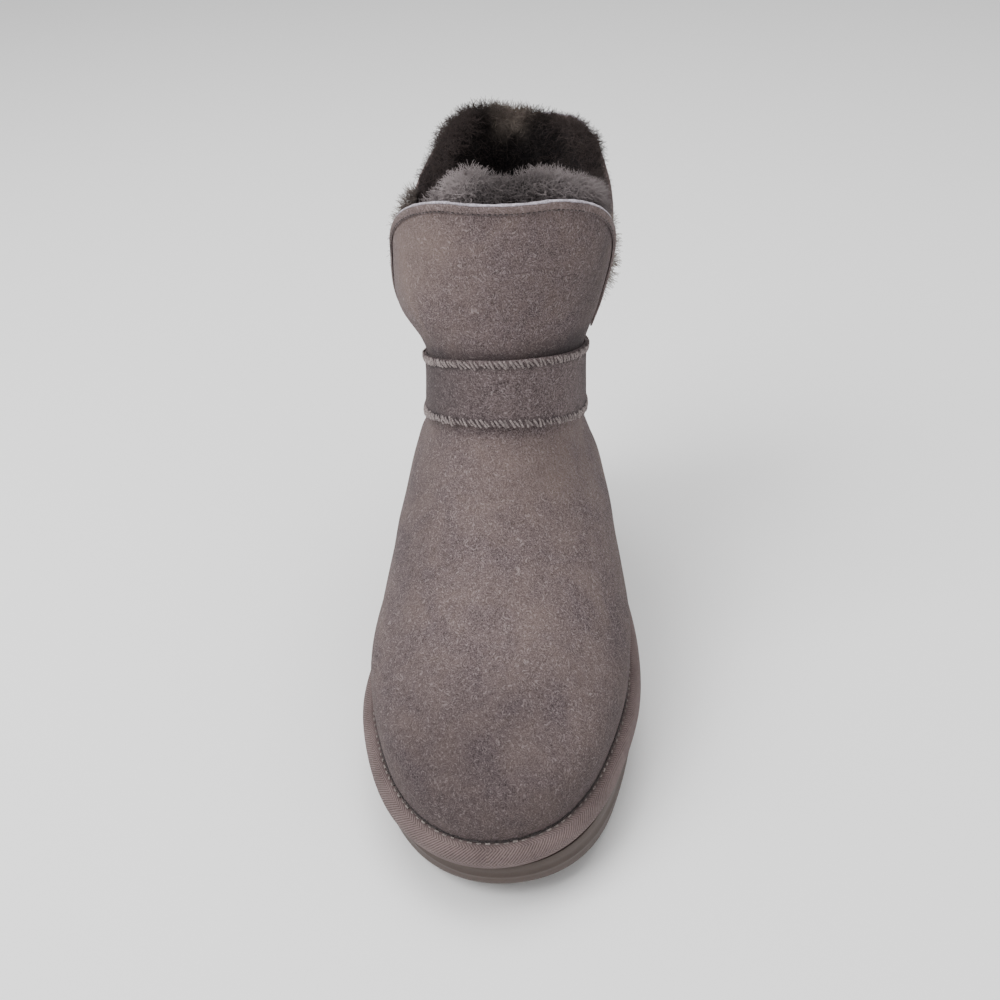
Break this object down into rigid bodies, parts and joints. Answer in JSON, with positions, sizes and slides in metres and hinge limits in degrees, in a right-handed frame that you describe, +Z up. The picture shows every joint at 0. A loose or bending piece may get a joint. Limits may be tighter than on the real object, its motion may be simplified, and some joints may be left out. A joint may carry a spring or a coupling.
{
  "type": "ankle boot",
  "caption": "Sheepskin ankle boot with a shaft split at the sides into a front and a back flap, an ankle strap, a taped seam and deep fleece inside.",
  "frame": {"origin": "centre of the boot's bounding box in plan, on the floor", "axes": "-Y towards the toe, +Z up, -X towards the inner side of the foot"},
  "size_m": [0.1043, 0.2542, 0.2094],
  "materials": {
    "suede": "brushed suede nap, matte",
    "suede_edge": "suede, folded and stitched",
    "twill_tape": "herringbone twill",
    "sole_foam": "matte moulded foam rubber",
    "fleece": "dense wool pile, matte"
  },
  "bodies": {
    "root": {"outsole": "sole_foam", "binding_tape": "twill_tape", "insole": "fleece", "upper": "suede", "ankle_strap": "suede", "front_flap_binding": "suede_edge", "back_flap_binding": "suede_edge", "front_fleece": "fleece", "back_fleece": "fleece"}
  },
  "joints": []
}
